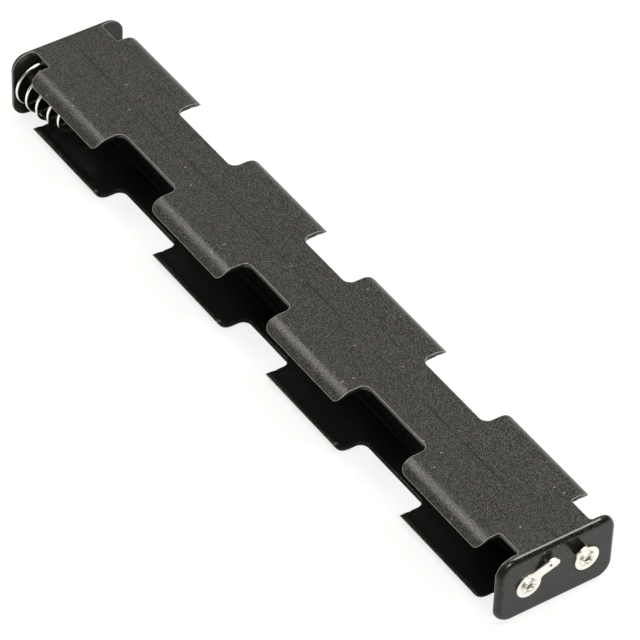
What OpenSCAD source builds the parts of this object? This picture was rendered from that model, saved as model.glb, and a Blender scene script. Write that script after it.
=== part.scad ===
// Flat holder for eight cylindrical cells, in two rows of four laid end to end.
// One moulded body has a web between the rows, and spring tabs curl round the cells from both plates.
// The origin is at the middle of the underside. X runs along the rows, towards the end with the solder lugs.

/* [Body] */
// Length of the moulded body, over its end plates
body_len = 211; // [209:0.5:216]
// Width over the tabs and the end plates
body_w = 32.5; // [32.5:0.25:35]
// Height of the body
body_h = 19; // [18:0.1:20]
// Thickness of the two long plates and their tabs
wall_t = 1.2; // [1:0.1:1.4]
// Thickness of the web between the two rows
web_t = 1.2; // [1:0.1:1.6]
// Thickness of an end plate
end_t = 1.7; // [1.6:0.1:2]
// Radius of the body's long outer corners
corner_r = 4.4; // [4:0.1:4.8]
// Radius of an end plate's outer edge
end_edge_r = 1.5; // [1.2:0.1:1.5]

/* [Tabs] */
// Length of a tab along the row
tab_len = 30.6; // [28:0.2:31]
// Distance from the middle of the body to the centre of an inner tab
inner_tab_x = 25; // [24:0.5:26]
// Distance from the middle of the body to the centre of an outer tab
outer_tab_x = 80.9; // [80:0.1:81.5]
// How far a tab curls down past the plate's outer face
tab_drop = 2.7; // [2.5:0.1:3]
// Radius of a tab's tip corners, seen from the side
tab_tip_r = 2.2; // [1.5:0.1:2.2]
// Half the plate's width at the recesses between the tabs
neck_half_w = 7.75; // [7.5:0.25:9]
// Half the plate's width at the short recesses beside the end plates
end_neck_half_w = 9.75; // [9.5:0.25:10.5]
// Radius of a recess's inner corners
recess_r = 2.2; // [1.5:0.1:2.6]
// Radius of the inner corners of a recess beside an end plate
end_recess_r = 0.9; // [0.6:0.1:1.2]

/* [Contacts] */
// Distance from the middle plane to a rivet's axis
rivet_y = 8.1; // [7.9:0.05:8.3]
// Thickness of the stamped lugs, contact discs and link bar
strip_t = 0.4; // [0.3:0.1:0.5]
// Radius of a rivet's shank
shank_r = 1.45; // [1.3:0.05:1.45]
// Radius of the hole through a rivet
rivet_bore_r = 0.85; // [0.7:0.05:0.9]
// Radius of a rivet's flat inner head
inner_head_r = 2.7; // [2.6:0.1:3]
// Thickness of a rivet's flat inner head
inner_head_t = 0.4; // [0.3:0.1:0.5]
// Radius of a rivet's rolled outer head
outer_head_r = 2.1; // [1.9:0.1:2.3]
// Radius of a contact disc
disc_r = 4.6; // [4:0.1:5]

/* [Solder lugs] */
// Radius of a lug's round end
lug_r = 3.3; // [3:0.1:3.5]
// Half the width of a lug's tail, which is also the radius of its tip
lug_tail_r = 1.6; // [1.4:0.05:1.7]
// Radius of the hollow corners between a lug's round end and its tail
lug_hollow_r = 1.2; // [1:0.1:1.6]
// Distance from the rivet to the centre of a lug's round tip
lug_reach = 7.6; // [7.2:0.1:8]
// Radius of the wire hole in a lug's tail
wire_hole_r = 0.5; // [0.4:0.05:0.7]
// Distance from the rivet to the centre of the wire hole
wire_hole_at = 6.7; // [6.4:0.1:7]
// Direction of the positive lug's tail, turned up from +Y
positive_tail_dir = 41; // [35:1:45]
// Direction of the negative lug's tail, turned up from +Y
negative_tail_dir = 120; // [110:1:130]
// Angle by which the positive lug's tail is lifted off the end plate
positive_lift = 15; // [10:1:25]
// Angle by which the negative lug's tail is bent out
negative_lift = 34; // [25:1:45]

/* [Springs] */
// Diameter of the spring wire
wire_d = 0.8; // [0.6:0.1:0.8]
// Radius of the largest coil, at the wire's centre
coil_base_r = 6.8; // [6.2:0.05:6.8]
// Radius of the smallest coil, at the wire's centre
coil_tip_r = 5.1; // [4.2:0.1:5.4]
// Radius of the loop held under the rivet's head, at the wire's centre
clamp_loop_r = 2; // [1.9:0.05:2]
// Distance from one open coil to the next
coil_pitch = 4.05; // [3.6:0.05:4.3]
// Number of open coils
open_coils = 4; // [3.75:0.25:4.5]
// How far the largest coil stands off the rivet's axis, towards the open side
coil_offset = 0.9; // [0.5:0.05:1]

/* [Hidden] */
$fn = 96;
plastic_colour = "#2b2b29";
nickel_colour = "#d9d6cb";
half_len = body_len / 2;
half_w = body_w / 2;
inner_x = half_len - end_t;
bend_y = half_w - corner_r;
tip_z = body_h - tab_drop;
rivet_z = body_h / 2;
rivet_hole_r = shank_r + 0.05;
outer_lip_r = (outer_head_r - rivet_bore_r) / 2;
// Centre of a lug's hollow corner, where the tail's straight sides start
hollow_y = lug_tail_r + lug_hollow_r;
hollow_x = sqrt(pow(lug_r + lug_hollow_r, 2) - pow(hollow_y, 2));
lug_bend_at = hollow_x + 0.1;
bend_inner_r = 0.3;
wire_r = wire_d / 2;
// How far one piece of the body runs into the next, to join them
fuse = 0.05;
// How far a cutter runs past the face it cuts
over = 0.5;
// Width and directions of the splits that rolling leaves in a rivet's outer head
split_w = 0.25;
split_dirs = [12, 81, 160, 221, 297];
// Stretches of a spring's wire, as turns counted from its clamped end
loop_end = 0.6;
spiral_end = 1.5;
rise_start = 1.4;
open_end = rise_start + open_coils;
wire_end = open_end + 0.85;
// Turns after rise_start at which the first open coil passes the channel's open side
first_open_side = 0.2;
taper_power = 2.6;
// Angle by which the negative spring is turned about its rivet, so that its coils stay off the open side
negative_spring_turn = 90;
turn_steps = 20;
wire_sides = 8;

// Rounded rectangle, centred in X and standing on the X axis
module round_rect(w, h, r) {
    translate([-w / 2, r]) square([w, h - 2 * r]);
    translate([-w / 2 + r, 0]) square([w - 2 * r, h]);
    for (side = [-1, 1], y = [r, h - r])
        translate([side * (w / 2 - r), y]) circle(r);
}

// Stands a drawing up in the Y-Z plane and extrudes it along +X from x
module along_x(x, len) {
    translate([x, 0, 0]) rotate([90, 0, 90]) linear_extrude(len) children();
}

module quarter_disc(r) {
    intersection() {
        circle(r);
        square(r);
    }
}

// Two flat plates with rounded long edges, which end at the tab tips
module shell() {
    difference() {
        along_x(-inner_x - fuse, 2 * (inner_x + fuse)) round_rect(body_w, body_h, corner_r);
        along_x(-inner_x - over, 2 * (inner_x + over)) translate([0, wall_t])
            round_rect(body_w - 2 * wall_t, body_h - 2 * wall_t, corner_r - wall_t);
        for (side = [0, 1]) mirror([0, side, 0])
            translate([-inner_x - over, bend_y, tab_drop])
                cube([2 * (inner_x + over), corner_r + over, tip_z - tab_drop]);
    }
}

// Cuts both plates back to half width neck between x0 and x1, with round inner corners
module recess(x0, x1, neck, r) {
    cut_h = body_h + 2 * over;
    for (side = [0, 1]) mirror([0, side, 0]) translate([0, 0, -over]) {
        translate([x0, neck + r, 0]) cube([x1 - x0, half_w - neck - r + over, cut_h]);
        translate([x0 + r, neck, 0]) cube([x1 - x0 - 2 * r, half_w - neck, cut_h]);
        for (x = [x0 + r, x1 - r]) translate([x, neck + r, 0]) cylinder(h = cut_h, r = r);
    }
}

// Rounds the tip corners at a tab's end x, on both sides and both plates. facing is 1 where the tab
// ends towards +X and 0 where it ends towards -X
module tip_corners(x, facing) {
    for (side = [0, 1], low = [0, 1])
        translate([x, 0, body_h / 2]) mirror([facing, 0, 0]) mirror([0, side, 0]) mirror([0, 0, low])
            translate([0, bend_y, tip_z - body_h / 2]) difference() {
                translate([-over, 0, -over])
                    cube([tab_tip_r + over, corner_r + over, tab_tip_r + over]);
                translate([tab_tip_r, corner_r + 2 * over, tab_tip_r]) rotate([90, 0, 0])
                    cylinder(h = corner_r + 3 * over, r = tab_tip_r);
            }
}

// End plate whose inner face is at x = 0 and whose outer edge is rounded
module end_plate() {
    edge_x = end_t - end_edge_r;
    along_x(0, edge_x) round_rect(body_w, body_h, corner_r);
    along_x(0, end_t) translate([0, end_edge_r])
        round_rect(body_w - 2 * end_edge_r, body_h - 2 * end_edge_r, corner_r - end_edge_r);
    for (side = [0, 1], low = [0, 1])
        translate([edge_x, 0, body_h / 2]) mirror([0, side, 0]) mirror([0, 0, low]) {
            translate([0, bend_y, body_h / 2 - corner_r]) rotate([90, 0, 90])
                rotate_extrude(angle = 90) translate([corner_r - end_edge_r, 0]) quarter_disc(end_edge_r);
            translate([0, half_w - end_edge_r, 0])
                linear_extrude(body_h / 2 - corner_r) quarter_disc(end_edge_r);
            translate([0, bend_y, body_h / 2 - end_edge_r]) rotate([90, 0, 0])
                linear_extrude(bend_y) quarter_disc(end_edge_r);
        }
}

module holder_body() {
    half_tab = tab_len / 2;
    color(plastic_colour) difference() {
        union() {
            difference() {
                shell();
                recess(half_tab - inner_tab_x, inner_tab_x - half_tab, neck_half_w, recess_r);
                for (end = [0, 1]) mirror([end, 0, 0]) {
                    recess(inner_tab_x + half_tab, outer_tab_x - half_tab, neck_half_w, recess_r);
                    recess(outer_tab_x + half_tab, inner_x, end_neck_half_w, end_recess_r);
                    for (x = [inner_tab_x, outer_tab_x]) {
                        tip_corners(x - half_tab, 0);
                        tip_corners(x + half_tab, 1);
                    }
                }
            }
            translate([-inner_x - fuse, -web_t / 2, wall_t / 2])
                cube([2 * (inner_x + fuse), web_t, body_h - wall_t]);
            for (end = [0, 1]) mirror([end, 0, 0]) translate([inner_x, 0, 0]) end_plate();
        }
        for (end = [0, 1], y = [-rivet_y, rivet_y]) mirror([end, 0, 0])
            translate([inner_x - over, y, rivet_z]) rotate([0, 90, 0])
                cylinder(h = end_t + 2 * over, r = rivet_hole_r);
    }
}

// Puts a piece drawn about +Z onto a rivet's axis. end is 0 at the lugs' end and 1 at the far end,
// side is -1 or 1, and the piece's z = 0 is the end plate's outer face
module at_rivet(end, side) {
    rotate(180 * end) translate([half_len, side * (end ? -1 : 1) * rivet_y, rivet_z])
        rotate([90, 0, 90]) children();
}

// Flat outline of a lug up to its bend: a round end about the origin, which runs through two hollow
// corners into the start of the tail on +X
module lug_head() {
    circle(lug_r);
    difference() {
        polygon([[0, 0], [hollow_x, -hollow_y], [hollow_x, hollow_y]]);
        for (side = [-1, 1]) translate([hollow_x, side * hollow_y]) circle(lug_hollow_r);
    }
    translate([hollow_x - fuse, -lug_tail_r]) square([lug_bend_at - hollow_x + fuse, 2 * lug_tail_r]);
}

// Stamped lug whose tail is bent up by lift along a line across it
module lug(lift) {
    bend_r = bend_inner_r + strip_t;
    linear_extrude(strip_t) difference() {
        lug_head();
        circle(rivet_hole_r);
    }
    translate([lug_bend_at, 0, bend_r]) {
        translate([0, lug_tail_r, 0]) rotate([90, 0, 0]) linear_extrude(2 * lug_tail_r) intersection() {
            difference() {
                circle(bend_r);
                circle(bend_inner_r);
            }
            polygon([
                [0, 0],
                [0, -2 * bend_r],
                2 * bend_r * [sin(lift / 2), -cos(lift / 2)],
                2 * bend_r * [sin(lift), -cos(lift)],
            ]);
        }
        rotate([0, -lift, 0]) translate([-lug_bend_at, 0, -bend_r]) linear_extrude(strip_t)
            difference() {
                union() {
                    translate([lug_bend_at, -lug_tail_r]) square([lug_reach - lug_bend_at, 2 * lug_tail_r]);
                    translate([lug_reach, 0]) circle(lug_tail_r);
                }
                translate([wire_hole_at, 0]) circle(wire_hole_r);
            }
    }
}

module positive_lug() {
    color(nickel_colour) at_rivet(0, -1) rotate(positive_tail_dir) lug(positive_lift);
}

module negative_lug() {
    color(nickel_colour) at_rivet(0, 1) rotate(negative_tail_dir) lug(negative_lift);
}

// Tubular rivet through the end plate and a piece of thickness held inside it. Its flat head is
// inside, and its outer head is rolled over a strip and split by the rolling
module rivet(held) {
    head_z = -end_t - held;
    difference() {
        rotate_extrude() {
            translate([rivet_bore_r, head_z - inner_head_t])
                square([shank_r - rivet_bore_r, strip_t - head_z + inner_head_t]);
            translate([rivet_bore_r, head_z - inner_head_t])
                square([inner_head_r - rivet_bore_r, inner_head_t]);
            intersection() {
                translate([rivet_bore_r + outer_lip_r, strip_t]) circle(outer_lip_r);
                translate([rivet_bore_r, strip_t]) square(2 * outer_lip_r);
            }
        }
        for (dir = split_dirs) rotate(dir) translate([0, -split_w / 2, strip_t + split_w / 2])
            cube([outer_head_r + over, split_w, outer_lip_r]);
    }
}

module positive_rivet() {
    color(nickel_colour) at_rivet(0, -1) rivet(strip_t);
}

module negative_rivet() {
    color(nickel_colour) at_rivet(0, 1) rivet(wire_d);
}

module link_spring_rivet() {
    color(nickel_colour) at_rivet(1, -1) rivet(wire_d);
}

module link_contact_rivet() {
    color(nickel_colour) at_rivet(1, 1) rivet(strip_t);
}

// Flat disc that a cell's raised end presses on, against the end plate's inner face
module contact_disc() {
    translate([0, 0, -end_t - strip_t]) linear_extrude(strip_t) difference() {
        circle(disc_r);
        circle(rivet_hole_r);
    }
}

module positive_contact() {
    color(nickel_colour) at_rivet(0, -1) contact_disc();
}

module link_contact() {
    color(nickel_colour) at_rivet(1, 1) contact_disc();
}

// Strip across the far end plate that joins the two rows
module link_bar() {
    color(nickel_colour) translate([-half_len - strip_t, 0, rivet_z]) rotate([90, 0, 90])
        linear_extrude(strip_t) difference() {
            union() {
                translate([-rivet_y, -lug_r]) square([2 * rivet_y, 2 * lug_r]);
                for (y = [-rivet_y, rivet_y]) translate([y, 0]) circle(lug_r);
            }
            for (y = [-rivet_y, rivet_y]) translate([y, 0]) circle(rivet_hole_r);
        }
}

// The spring's wire at t turns from its clamped end. The axis is +Z, and z = 0 is the face it stands on
function ease(u) = u * u * (3 - 2 * u);
function spread(t) = ease(min(1, max(0, (t - loop_end) / (spiral_end - loop_end))));
function climb(t) = min(1, max(0, (t - rise_start) / open_coils));
function coil_shift(t) = coil_offset * spread(t) * (1 - climb(t));
function coil_r(t) = clamp_loop_r + (coil_base_r - clamp_loop_r) * spread(t)
    - (coil_base_r - coil_tip_r) * pow(climb(t), taper_power);
function coil_z(t) = wire_r + coil_pitch * open_coils * climb(t) + wire_d * max(0, t - open_end);
function coil_dir(t) = 180 - 360 * (t - rise_start - first_open_side);
function wire_point(t) =
    [coil_r(t) * cos(coil_dir(t)) - coil_shift(t), coil_r(t) * sin(coil_dir(t)), coil_z(t)];
function unit(v) = v / norm(v);
function wire_heading(t) = unit(wire_point(t + 0.001) - wire_point(t - 0.001));
function wire_side(t) = unit(cross(wire_heading(t), [0, 0, 1]));
function wire_ring(t) = [
    for (k = [0 : wire_sides - 1])
        let (turn = 360 * k / wire_sides)
            wire_point(t) + wire_r * (cos(turn) * wire_side(t)
                + sin(turn) * cross(wire_side(t), wire_heading(t))),
];

// Conical spring: a loop under the rivet's head, a flat spiral out to the largest coil, then open coils
// up to a closed tip
module spring() {
    steps = ceil(wire_end * turn_steps);
    points = [for (i = [0 : steps]) each wire_ring(wire_end * i / steps)];
    start_cap = [for (k = [0 : wire_sides - 1]) k];
    end_cap = [for (k = [wire_sides - 1 : -1 : 0]) steps * wire_sides + k];
    walls = [
        for (i = [0 : steps - 1], k = [0 : wire_sides - 1])
            let (a = i * wire_sides + k, b = i * wire_sides + (k + 1) % wire_sides)
                each [[a, a + wire_sides, b], [b, a + wire_sides, b + wire_sides]],
    ];
    polyhedron(points, concat([start_cap, end_cap], walls));
}

// Puts a spring on the inner face of the far end plate
module on_inner_face() {
    translate([-inner_x, -rivet_y, rivet_z]) rotate([90, 0, 90]) children();
}

module link_spring() {
    color(nickel_colour) on_inner_face() spring();
}

module negative_spring() {
    color(nickel_colour) rotate(180) on_inner_face() rotate(negative_spring_turn) spring();
}

holder_body();
positive_lug();
positive_contact();
positive_rivet();
negative_lug();
negative_spring();
negative_rivet();
link_bar();
link_spring();
link_spring_rivet();
link_contact();
link_contact_rivet();
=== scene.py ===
import math
import bpy
from mathutils import Euler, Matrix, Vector


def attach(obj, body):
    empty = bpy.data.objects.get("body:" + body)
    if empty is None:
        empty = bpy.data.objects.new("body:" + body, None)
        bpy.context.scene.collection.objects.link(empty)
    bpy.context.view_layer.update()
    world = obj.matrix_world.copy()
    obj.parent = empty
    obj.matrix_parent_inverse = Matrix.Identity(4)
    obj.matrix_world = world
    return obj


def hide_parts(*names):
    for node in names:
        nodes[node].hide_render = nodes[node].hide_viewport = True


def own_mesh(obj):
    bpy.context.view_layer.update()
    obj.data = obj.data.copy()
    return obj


MM = 0.001

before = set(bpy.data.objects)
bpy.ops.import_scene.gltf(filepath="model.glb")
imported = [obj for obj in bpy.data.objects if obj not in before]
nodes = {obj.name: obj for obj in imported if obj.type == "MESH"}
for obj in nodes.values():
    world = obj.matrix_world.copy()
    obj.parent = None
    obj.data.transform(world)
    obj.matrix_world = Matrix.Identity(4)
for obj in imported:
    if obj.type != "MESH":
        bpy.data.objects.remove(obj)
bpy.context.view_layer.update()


# Sizes of the holder, in millimetres

BODY_WIDE = 32.5
BODY_HIGH = 19.0
# Outer radius of the body's long corners, and the thickness of its plates and tabs.
CORNER_R = 4.4
WALL = 1.2
# The end plates' inner faces, and the rivets' axes.
INNER_X = 103.8
RIVET_Y = 8.1
RIVET_Z = BODY_HIGH / 2


# Helpers

def linear(code):
    """An sRGB hex colour as linear red, green, blue and alpha."""
    parts = [int(code[i:i + 2], 16) / 255 for i in (1, 3, 5)]
    return tuple(p / 12.92 if p <= 0.04045 else ((p + 0.055) / 1.055) ** 2.4 for p in parts) + (1.0,)


def per(size):
    """The scale of a pattern whose features are this many millimetres across."""
    return 1 / (size * MM)


def add(tree, kind, settings=None, links=None):
    """Adds a node to a tree. Settings are the node's own properties or its inputs' values.
    A link comes from a socket, or from a node's first output."""
    made = tree.nodes.new(kind)
    for key, value in (settings or {}).items():
        if isinstance(key, str) and hasattr(made, key):
            setattr(made, key, value)
        else:
            made.inputs[key].default_value = value
    for key, source in (links or {}).items():
        socket = source.outputs[0] if isinstance(source, bpy.types.Node) else source
        tree.links.new(socket, made.inputs[key])
    return made


def new_material(name):
    material = bpy.data.materials.new(name)
    material.use_nodes = True
    tree = material.node_tree
    tree.nodes.clear()
    return material, tree


def finish_material(tree, shader):
    add(tree, "ShaderNodeOutputMaterial", {}, {"Surface": shader})


# The settings of a range that falls from 1 to 0 as its value rises.
FALLING = {"To Min": 1.0, "To Max": 0.0}


# The moulding's finish, with its sizes in millimetres

# The mould's grain is about 0.1 mm across, and is drawn at 0.3 mm so that it shows.
GRAIN = 0.3125
GRAIN_DEEP = 0.06
MOTTLE = 16.67
# One cell of the dust pattern, of which a few hold a speck.
DUST_CELL = 2.857
SINK_HALF_WIDE = 0.25
SINK_FADE = 0.1
ROUNDED_EDGE = 0.3
# How much of the long plates' grain and painted glints the end plates have.
END_PLATE_GRAIN_AND_GLINTS = 0.36


def places_on_moulding(tree, spot):
    """How far a place is from the middle planes, and how much it is between the end plates and inside."""
    raised = add(tree, "ShaderNodeVectorMath", {"operation": "SUBTRACT", 1: (0, 0, BODY_HIGH / 2 * MM)},
                 {0: spot})
    folded = add(tree, "ShaderNodeVectorMath", {"operation": "ABSOLUTE"}, {0: raised})
    off = add(tree, "ShaderNodeSeparateXYZ", {}, {0: folded})
    between = add(tree, "ShaderNodeMapRange",
                  {"From Min": (INNER_X + 0.1) * MM, "From Max": (INNER_X + 0.3) * MM, **FALLING},
                  {"Value": off.outputs["X"]})

    # The distance from the corners' centre lines is CORNER_R on the shell's outside, and less by WALL inside.
    # The first number, 1 m, leaves the length out.
    centre_line = (1, (BODY_WIDE / 2 - CORNER_R) * MM, (BODY_HIGH / 2 - CORNER_R) * MM)
    past = add(tree, "ShaderNodeVectorMath", {"operation": "SUBTRACT", 1: centre_line}, {0: folded})
    bend = add(tree, "ShaderNodeVectorMath", {"operation": "MAXIMUM", 1: (0, 0, 0)}, {0: past})
    out = add(tree, "ShaderNodeVectorMath", {"operation": "LENGTH"}, {0: bend})
    wall_middle = CORNER_R - WALL / 2
    within = add(tree, "ShaderNodeMapRange",
                 {"From Min": (wall_middle - 0.3) * MM, "From Max": (wall_middle + 0.3) * MM, **FALLING},
                 {"Value": out.outputs["Value"]})
    inside = add(tree, "ShaderNodeMath", {"operation": "MULTIPLY"}, {0: within, 1: between})
    return off, between, inside


def grain_with_painted_glints(tree, grain, grain_and_glint_share):
    """Each grain of the mould glints with a painted highlight, or stays dark."""
    glints = add(tree, "ShaderNodeMapRange", {"From Min": 0.46, "From Max": 0.64}, {"Value": grain})
    share = add(tree, "ShaderNodeMath", {"operation": "MULTIPLY"}, {0: glints, 1: grain_and_glint_share})
    return add(tree, "ShaderNodeMix", {"data_type": "RGBA", 6: linear("#060606"), 7: linear("#474642")},
               {0: share}).outputs[2]


def painted_shade_over_web(tree, colour, off, mottle):
    """A faint broken line of painted shade along each plate, where the plastic shrank over the web."""
    line = add(tree, "ShaderNodeMapRange",
               {"From Min": (SINK_HALF_WIDE - SINK_FADE) * MM, "From Max": (SINK_HALF_WIDE + SINK_FADE) * MM,
                **FALLING}, {"Value": off.outputs["Y"]})
    on_plate = add(tree, "ShaderNodeMath", {"operation": "GREATER_THAN", 1: (BODY_HIGH / 2 - 0.1) * MM},
                   {0: off.outputs["Z"]})
    broken = add(tree, "ShaderNodeMapRange", {"From Min": 0.4, "From Max": 0.58, "To Max": 0.9},
                 {"Value": mottle})
    sunk = add(tree, "ShaderNodeMath", {"operation": "MULTIPLY"}, {0: line, 1: on_plate})
    share = add(tree, "ShaderNodeMath", {"operation": "MULTIPLY"}, {0: sunk, 1: broken})
    return add(tree, "ShaderNodeMix", {"data_type": "RGBA", 7: linear("#040404")},
               {0: share, 6: colour}).outputs[2]


def dusty(tree, colour, spot, grain_and_glint_share):
    """A few specks of pale dust, about 0.5 mm across."""
    cells = add(tree, "ShaderNodeTexVoronoi", {"Scale": per(DUST_CELL)}, {"Vector": spot})
    speck = add(tree, "ShaderNodeMapRange",
                {"From Min": 0.06, "From Max": 0.12, "To Min": 0.35, "To Max": 0.0},
                {"Value": cells.outputs["Distance"]})
    draw = add(tree, "ShaderNodeSeparateColor", {}, {0: cells.outputs["Color"]})
    few = add(tree, "ShaderNodeMath", {"operation": "GREATER_THAN", 1: 0.75}, {0: draw})
    dust = add(tree, "ShaderNodeMath", {"operation": "MULTIPLY"}, {0: speck, 1: few})
    share = add(tree, "ShaderNodeMath", {"operation": "MULTIPLY"}, {0: dust, 1: grain_and_glint_share})
    return add(tree, "ShaderNodeMix", {"data_type": "RGBA", 7: linear("#b4b0a4")},
               {0: share, 6: colour}).outputs[2]


def painted_edge_highlight(tree, colour, edge):
    """Cut edges carry a pale painted highlight, where the rounded normal leans away from the true one."""
    shape = add(tree, "ShaderNodeNewGeometry")
    alike = add(tree, "ShaderNodeVectorMath", {"operation": "DOT_PRODUCT"},
                {0: edge, 1: shape.outputs["True Normal"]})
    share = add(tree, "ShaderNodeMapRange", {"From Min": 0.8, "From Max": 0.95, **FALLING},
                {"Value": alike.outputs["Value"]})
    return add(tree, "ShaderNodeMix", {"data_type": "RGBA", 7: linear("#bdb9b0")},
               {0: share, 6: colour}).outputs[2]


def moulded_black_abs():
    # Injection-moulded black ABS. The outside comes from a spark-eroded mould, and painted glints on its
    # grain make the plates look a speckled charcoal. The end plates are smoother, with fewer painted glints,
    # and the inside comes from a polished core and looks nearly black.
    material, tree = new_material("moulded_black_abs")
    spot = add(tree, "ShaderNodeTexCoord").outputs["Object"]
    grain = add(tree, "ShaderNodeTexNoise", {"Scale": per(GRAIN), "Detail": 1.0, "Roughness": 0.6},
                {"Vector": spot})
    mottle = add(tree, "ShaderNodeTexNoise", {"Scale": per(MOTTLE), "Detail": 3.0}, {"Vector": spot})
    edge = add(tree, "ShaderNodeBevel", {"samples": 8, "Radius": ROUNDED_EDGE * MM})
    off, between, inside = places_on_moulding(tree, spot)
    grain_and_glint_share = add(tree, "ShaderNodeMapRange", {"To Min": END_PLATE_GRAIN_AND_GLINTS, "To Max": 1.0},
                  {"Value": between})

    # Painted glints on the mould's grain.
    colour = grain_with_painted_glints(tree, grain, grain_and_glint_share)
    # Painted shade along the sink mark over the web.
    colour = painted_shade_over_web(tree, colour, off, mottle)
    colour = dusty(tree, colour, spot, grain_and_glint_share)
    # A painted highlight along the cut edges.
    colour = painted_edge_highlight(tree, colour, edge)
    colour = add(tree, "ShaderNodeMix", {"data_type": "RGBA", 7: linear("#171717")},
                 {0: inside, 6: colour}).outputs[2]

    matte = add(tree, "ShaderNodeMapRange", {"To Min": 0.24, "To Max": 0.36}, {"Value": mottle})
    outer = add(tree, "ShaderNodeMix", {"data_type": "FLOAT", 2: 0.22}, {0: between, 3: matte})
    rough = add(tree, "ShaderNodeMix", {"data_type": "FLOAT", 3: 0.24}, {0: inside, 2: outer})

    outside = add(tree, "ShaderNodeMath", {"operation": "SUBTRACT", 0: 1.0}, {1: inside})
    height = add(tree, "ShaderNodeMath", {"operation": "MULTIPLY"}, {0: grain_and_glint_share, 1: outside})
    relief = add(tree, "ShaderNodeMath", {"operation": "MULTIPLY"}, {0: grain, 1: height})
    bump = add(tree, "ShaderNodeBump", {"Strength": 0.6, "Distance": GRAIN_DEEP * MM},
               {"Height": relief, "Normal": edge})
    shader = add(tree, "ShaderNodeBsdfPrincipled", {"IOR": 1.54, "Specular IOR Level": 0.34},
                 {"Base Color": colour, "Roughness": rough, "Normal": bump})
    finish_material(tree, shader)
    return material


# The plated finishes, with their sizes in millimetres

# The strip's scratches lie level: long in X and Y, and narrow in Z.
SCRATCH_LONG = 1.111
SCRATCH_WIDE = 0.1667
SCRATCH_DEEP = 0.03
STAMPED_EDGE = 0.12
WIRE_WEAR = 0.6667


def nickel_plated_strip():
    # Nickel-plated steel strip, stamped and tumbled: bright and slightly warm, with soft edges and
    # fine scratches.
    material, tree = new_material("nickel_plated_strip")
    spot = add(tree, "ShaderNodeTexCoord").outputs["Object"]
    stretch = add(tree, "ShaderNodeMapping",
                  {"Scale": (per(SCRATCH_LONG), per(SCRATCH_LONG), per(SCRATCH_WIDE))}, {"Vector": spot})
    lines = add(tree, "ShaderNodeTexNoise", {"Scale": 1.0, "Detail": 2.0}, {"Vector": stretch})
    rough = add(tree, "ShaderNodeMapRange", {"To Min": 0.28, "To Max": 0.42}, {"Value": lines})
    edge = add(tree, "ShaderNodeBevel", {"samples": 4, "Radius": STAMPED_EDGE * MM})
    bump = add(tree, "ShaderNodeBump", {"Strength": 0.15, "Distance": SCRATCH_DEEP * MM},
               {"Height": lines, "Normal": edge})
    shader = add(tree, "ShaderNodeBsdfPrincipled", {"Base Color": linear("#faf8f0"), "Metallic": 1.0},
                 {"Roughness": rough, "Normal": bump})
    finish_material(tree, shader)
    return material


def nickel_plated_wire():
    # Nickel-plated spring wire: drawn smooth, and brighter than the strip, with a slightly uneven shine.
    material, tree = new_material("nickel_plated_wire")
    spot = add(tree, "ShaderNodeTexCoord").outputs["Object"]
    wear = add(tree, "ShaderNodeTexNoise", {"Scale": per(WIRE_WEAR), "Detail": 2.0}, {"Vector": spot})
    rough = add(tree, "ShaderNodeMapRange", {"To Min": 0.14, "To Max": 0.28}, {"Value": wear})
    shader = add(tree, "ShaderNodeBsdfPrincipled", {"Base Color": linear("#f5f2ea"), "Metallic": 1.0},
                 {"Roughness": rough})
    finish_material(tree, shader)
    return material


def give(obj, material):
    if not obj.material_slots:
        obj.data.materials.append(material)
    for slot in obj.material_slots:
        slot.material = material


abs_black = moulded_black_abs()
strip = nickel_plated_strip()
wire = nickel_plated_wire()
for name, obj in nodes.items():
    give(obj, abs_black if name == "holder_body" else wire if name.endswith("_spring") else strip)


# Springs, in millimetres

# The same wire as the CAD's springs, drawn round and smooth. Turns are counted from the clamped end.
WIRE_R = 0.4
CLAMP_LOOP_R = 2.0
COIL_BASE_R = 6.8
COIL_TIP_R = 5.1
COIL_PITCH = 4.05
COIL_OFFSET = 0.9
OPEN_COILS = 4.0
TIP_TURNS = 0.85
LOOP_END = 0.6
SPIRAL_END = 1.5
RISE_START = 1.4
OPEN_END = RISE_START + OPEN_COILS
WIRE_END = OPEN_END + TIP_TURNS
FIRST_OPEN_SIDE = 0.2
TAPER_POWER = 2.6
POINTS_A_TURN = 64


def clamp(u):
    return min(1.0, max(0.0, u))


def wire_point(t):
    """Centre of the wire at t turns, about +Z, from the face that the spring stands on."""
    u = clamp((t - LOOP_END) / (SPIRAL_END - LOOP_END))
    spread = u * u * (3 - 2 * u)
    climb = clamp((t - RISE_START) / OPEN_COILS)
    widest = CLAMP_LOOP_R + (COIL_BASE_R - CLAMP_LOOP_R) * spread
    r = widest - (COIL_BASE_R - COIL_TIP_R) * climb ** TAPER_POWER
    turn = math.pi - math.tau * (t - RISE_START - FIRST_OPEN_SIDE)
    z = WIRE_R + COIL_PITCH * OPEN_COILS * climb + 2 * WIRE_R * max(0.0, t - OPEN_END)
    return r * math.cos(turn) - COIL_OFFSET * spread * (1 - climb), r * math.sin(turn), z


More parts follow.
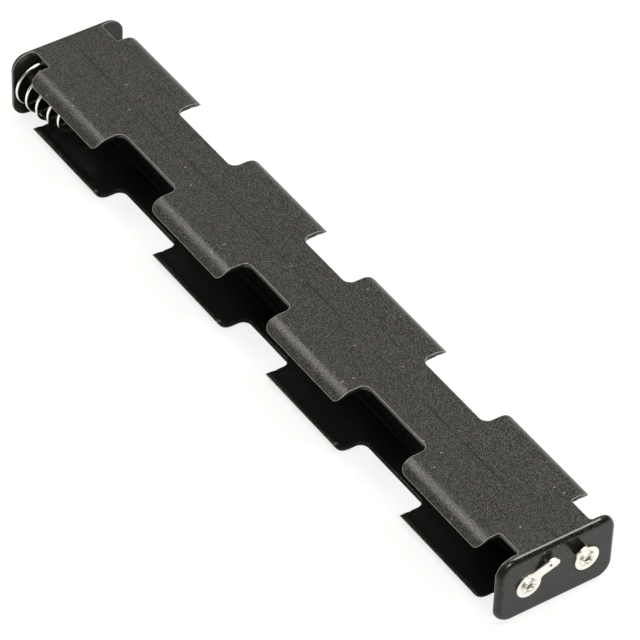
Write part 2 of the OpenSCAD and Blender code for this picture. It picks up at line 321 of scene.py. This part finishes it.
def wire_spring(name, side, turned):
    """A spring on the far end plate where side is -1, and on the near end plate where it is 1.
    It is turned about its rivet by so many degrees."""
    sin = math.sin(math.radians(turned))
    cos = math.cos(math.radians(turned))
    steps = round(WIRE_END * POINTS_A_TURN)
    curve = bpy.data.curves.new(name, "CURVE")
    curve.dimensions = "3D"
    curve.bevel_depth = WIRE_R * MM
    curve.bevel_resolution = 4
    curve.use_fill_caps = True
    line = curve.splines.new("POLY")
    line.points.add(steps)
    for i in range(steps + 1):
        a, b, out = wire_point(WIRE_END * i / steps)
        x = side * (INNER_X - out)
        y = side * (RIVET_Y - a * cos + b * sin)
        z = RIVET_Z + a * sin + b * cos
        line.points[i].co = (x * MM, y * MM, z * MM, 1)
    obj = bpy.data.objects.new(name, curve)
    bpy.context.scene.collection.objects.link(obj)
    bpy.ops.object.select_all(action="DESELECT")
    obj.select_set(True)
    bpy.context.view_layer.objects.active = obj
    bpy.ops.object.convert(target="MESH")
    obj = bpy.context.object
    bpy.ops.object.shade_smooth_by_angle(angle=math.radians(50))
    give(obj, wire)
    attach(obj, "holder")
    return obj


for node, side, turned in (("link_spring", -1, 0), ("negative_spring", 1, 90)):
    spring = wire_spring(node + "_wire", side, turned)
    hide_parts(node)
    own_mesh(spring)


# Stage, light and camera

# The card that the object mirrors glows in a painted round pool of light, in metres, and fades at the pool's
# edge.
POOL_CENTRE = (-0.35, 0.3, 0)
POOL_R = 0.57
POOL_FADE = 0.015
# Half the length and half the width of the painted shadow under the object, in millimetres, each with its
# fade.
PAINTED_SHADOW_UNDER_OBJECT = ((105, 2), (15, 3))
# How much of the card's look is its own white. The rest is lamp light, which keeps the shadow.
CARD_GLOW = 0.8
# The card's width, and how far it lies under the object so that the two faces don't flicker, in metres.
CARD_WIDE = 6
CARD_BELOW = 0.0002


def white_card():
    # Seamless white card: matte, lit by the lamps, and shown near white to the camera with the shadow kept.
    # What the object mirrors of it is a painted pool of light that fades out at its edge, with a painted
    # shadow under the object.
    material, tree = new_material("white_card")
    rays = add(tree, "ShaderNodeLightPath")
    spot = add(tree, "ShaderNodeTexCoord").outputs["Object"]
    far = add(tree, "ShaderNodeVectorMath", {"operation": "DISTANCE", 1: POOL_CENTRE}, {0: spot})
    # A painted pool of light on the card, seen only in what the object mirrors.
    painted_light_pool = add(tree, "ShaderNodeMapRange",
               {"From Min": POOL_R - POOL_FADE, "From Max": POOL_R + POOL_FADE, "To Min": 1.0, "To Max": 0.02,
                "interpolation_type": "SMOOTHSTEP"}, {"Value": far.outputs["Value"]})
    folded = add(tree, "ShaderNodeVectorMath", {"operation": "ABSOLUTE"}, {0: spot})
    off = add(tree, "ShaderNodeSeparateXYZ", {}, {0: folded})
    past_end, past_side = [
        add(tree, "ShaderNodeMapRange", {"From Min": (edge - fade) * MM, "From Max": (edge + fade) * MM},
            {"Value": off.outputs[axis]})
        for axis, (edge, fade) in enumerate(PAINTED_SHADOW_UNDER_OBJECT)]
    # A painted shadow under the object, in what the object mirrors.
    clear = add(tree, "ShaderNodeMath", {"operation": "MAXIMUM"}, {0: past_end, 1: past_side})
    painted_pool_and_shadow = add(tree, "ShaderNodeMath", {"operation": "MULTIPLY"}, {0: painted_light_pool, 1: clear})
    seen = add(tree, "ShaderNodeMath", {"operation": "MAXIMUM"},
               {0: rays.outputs["Is Camera Ray"], 1: rays.outputs["Is Transmission Ray"]})
    level = add(tree, "ShaderNodeMath", {"operation": "MAXIMUM"}, {0: seen, 1: painted_pool_and_shadow})
    glow_rays = add(tree, "ShaderNodeMath", {"operation": "MAXIMUM"},
                    {0: seen, 1: rays.outputs["Is Glossy Ray"]})
    share = add(tree, "ShaderNodeMath", {"operation": "MULTIPLY", 1: CARD_GLOW}, {0: glow_rays})
    card = add(tree, "ShaderNodeBsdfDiffuse", {"Color": linear("#efefec")})
    glow = add(tree, "ShaderNodeEmission", {"Color": linear("#ffffff")}, {"Strength": level})
    both = add(tree, "ShaderNodeMixShader", {}, {0: share, 1: card, 2: glow})
    finish_material(tree, both)
    return material


bpy.ops.object.select_all(action="DESELECT")
bpy.ops.mesh.primitive_plane_add(size=CARD_WIDE, location=(0, 0, -CARD_BELOW))
floor = bpy.context.object
floor.name = "floor"
give(floor, white_card())

LAMP_WHITE = "#fffcf4"


def studio_world():
    # A soft dome that is bright over the far end, where the plates mirror it, and dim elsewhere.
    # The camera sees plain white.
    world = bpy.data.worlds.new("studio")
    bpy.context.scene.world = world
    world.use_nodes = True
    sky = world.node_tree
    sky.nodes.clear()
    way = add(sky, "ShaderNodeTexCoord").outputs["Generated"]
    lean = add(sky, "ShaderNodeVectorMath", {"operation": "DOT_PRODUCT", 1: (-1.0, 0.0, 0.5)}, {0: way})
    level = add(sky, "ShaderNodeMapRange",
                {"From Min": 0.1, "From Max": 0.7, "To Min": 0.08, "To Max": 0.62,
                 "interpolation_type": "SMOOTHSTEP"}, {"Value": lean.outputs["Value"]})
    rays = add(sky, "ShaderNodeLightPath")
    dome = add(sky, "ShaderNodeBackground", {"Color": linear(LAMP_WHITE)}, {"Strength": level})
    white = add(sky, "ShaderNodeBackground", {"Color": linear("#ffffff"), "Strength": 1.0})
    mixed = add(sky, "ShaderNodeMixShader", {}, {0: rays.outputs["Is Camera Ray"], 1: dome, 2: white})
    add(sky, "ShaderNodeOutputWorld", {}, {"Surface": mixed})


def softbox(name, place, size, watts):
    """A soft lamp that points at the middle of the object. Its place and size are in metres."""
    lamp = bpy.data.lights.new(name, "AREA")
    lamp.shape = "RECTANGLE"
    lamp.size, lamp.size_y = size
    lamp.energy = watts
    lamp.color = linear(LAMP_WHITE)[:3]
    obj = bpy.data.objects.new(name, lamp)
    bpy.context.scene.collection.objects.link(obj)
    obj.location = place
    obj.rotation_euler = (-Vector(place)).to_track_quat("-Z", "Y").to_euler()


studio_world()
softbox("overhead", place=(0, 0.1, 1), size=(0.7, 0.7), watts=3)
softbox("left_bends", place=(-0.46, -0.24, 0.74), size=(0.8, 0.35), watts=4.4)
softbox("near_edge", place=(0.26, 0.45, 0.9), size=(0.46, 0.36), watts=7.5)
softbox("tab_ends", place=(0.8, -0.17, 0.62), size=(0.3, 0.3), watts=5)

# The camera stands where the photograph was taken from. Its place and lens are in millimetres, and its turn
# is in degrees.
CAMERA_PLACE = (652.16, -458.72, 736.15)
CAMERA_TURN = (47.4201, -1.7444, 56.0651)
CAMERA_LENS = 254.32

camera = bpy.data.cameras.new("camera")
camera.sensor_width = 36
camera.lens = CAMERA_LENS
camera.clip_start = 0.05
camera.clip_end = 20
view = bpy.data.objects.new("camera", camera)
bpy.context.scene.collection.objects.link(view)
view.location = Vector(CAMERA_PLACE) * MM
view.rotation_euler = Euler([math.radians(angle) for angle in CAMERA_TURN])
bpy.context.scene.camera = view
bpy.context.scene.view_settings.view_transform = "Standard"
